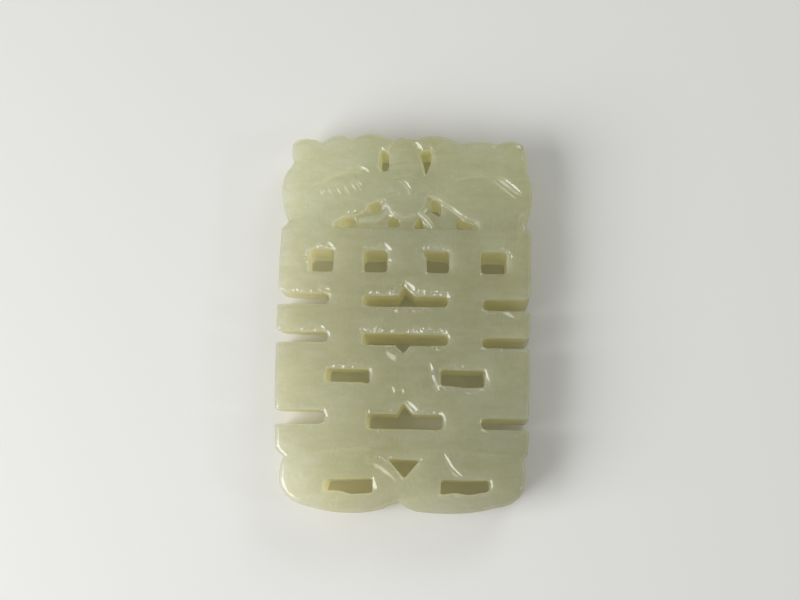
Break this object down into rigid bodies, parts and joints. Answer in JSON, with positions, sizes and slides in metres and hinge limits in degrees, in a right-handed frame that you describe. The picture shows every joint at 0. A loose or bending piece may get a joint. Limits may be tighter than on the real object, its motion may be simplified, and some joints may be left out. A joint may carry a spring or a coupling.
{
  "type": "jade carving",
  "caption": "Thick openwork jade plaque: a butterfly with scalloped wings over a sawn lattice of bars and windows, rounded off by two lobes.",
  "frame": {"origin": "on the surface the plaque lies on, under the middle of its outline", "axes": "+Z out of the carved face, +Y towards the butterfly, +X to the right as the face is seen"},
  "size_m": [0.0404, 0.061, 0.0085],
  "materials": {
    "jade": "polished pale celadon jade, faintly cloudy and translucent, with a waxy gloss"
  },
  "bodies": {
    "root": {"jade_plaque": "jade"}
  },
  "joints": []
}
